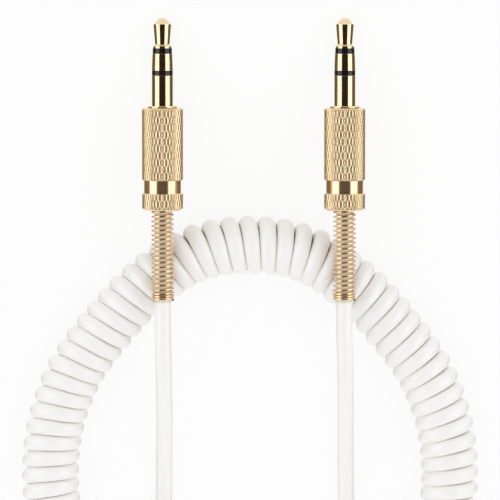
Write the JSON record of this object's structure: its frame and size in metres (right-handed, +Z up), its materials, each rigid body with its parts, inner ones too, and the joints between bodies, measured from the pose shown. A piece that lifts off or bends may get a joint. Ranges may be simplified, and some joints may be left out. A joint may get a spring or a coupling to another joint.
{
  "type": "coiled audio cable",
  "caption": "Coiled white audio cable with gold-coloured stereo plugs, knurled screw-on barrels and spring strain reliefs.",
  "frame": {"origin": "on the surface that the cable lies on, midway between the plugs and midway between their tips and the rear ends of their springs", "axes": "+Z up, +Y the way the plug tips point, +X to the right seen from above with the tips away from the viewer"},
  "size_m": [0.078, 0.1149, 0.0145],
  "materials": {
    "plug_gold": "gold plating, polished",
    "barrel_gold": "gold plating, knurled, with a polished band",
    "spring_gold": "gold-coloured plating on steel wire",
    "black_insulator": "glossy moulded plastic",
    "washer_board": "pressed insulating board",
    "tab_metal": "tin-plated sheet",
    "liner_plastic": "thin translucent sleeve, shown opaque",
    "cord_white": "smooth white jacket with a soft gloss",
    "wire_red": "insulated conductor",
    "wire_white": "insulated conductor",
    "ground_copper": "bare copper strands",
    "solder": "bright solder"
  },
  "bodies": {
    "cable": {"left_tip_contact": "plug_gold", "left_tip_insulator": "black_insulator", "left_ring_contact": "plug_gold", "left_ring_insulator": "black_insulator", "left_sleeve_contact": "plug_gold", "left_tab_washers": "washer_board", "left_tip_tab": "tab_metal", "left_ring_tab": "tab_metal", "left_ground_tab": "tab_metal", "left_liner": "liner_plastic", "left_tip_wire": "wire_red", "left_ring_wire": "wire_white", "left_ground_wire": "ground_copper", "left_solder_joints": "solder", "left_cord_end": "cord_white", "right_tip_contact": "plug_gold", "right_tip_insulator": "black_insulator", "right_ring_contact": "plug_gold", "right_ring_insulator": "black_insulator", "right_sleeve_contact": "plug_gold", "right_tab_washers": "washer_board", "right_tip_tab": "tab_metal", "right_ring_tab": "tab_metal", "right_ground_tab": "tab_metal", "right_liner": "liner_plastic", "right_tip_wire": "wire_red", "right_ring_wire": "wire_white", "right_ground_wire": "ground_copper", "right_solder_joints": "solder", "right_cord_end": "cord_white", "left_tail": "cord_white", "coil_cord": "cord_white", "right_tail": "cord_white"},
    "left_spring": {"left_spring": "spring_gold"},
    "left_barrel": {"left_barrel": "barrel_gold"},
    "right_spring": {"right_spring": "spring_gold"},
    "right_barrel": {"right_barrel": "barrel_gold"}
  },
  "joints": [
    {"name": "left_barrel_travel", "type": "slide", "parent": "cable", "child": "left_spring", "axis": [0, -0.9744, 0.225], "range_m": [0, 0.002]},
    {"name": "left_barrel_turn", "type": "hinge", "parent": "left_spring", "child": "left_barrel", "pos_m": [-0.0152, 0.0011, 0.00641], "axis": [0, -0.9744, 0.225], "range_deg": [0, 1440]},
    {"name": "right_barrel_travel", "type": "slide", "parent": "cable", "child": "right_spring", "axis": [0, -0.9744, 0.225], "range_m": [0, 0.002]},
    {"name": "right_barrel_turn", "type": "hinge", "parent": "right_spring", "child": "right_barrel", "pos_m": [0.0152, 0.0011, 0.00641], "axis": [0, -0.9744, 0.225], "range_deg": [0, 1440]}
  ],
  "couplings": [
    {"joint": "left_barrel_turn", "follows": "left_barrel_travel", "rad_per_m": 12566},
    {"joint": "right_barrel_turn", "follows": "right_barrel_travel", "rad_per_m": 12566}
  ]
}
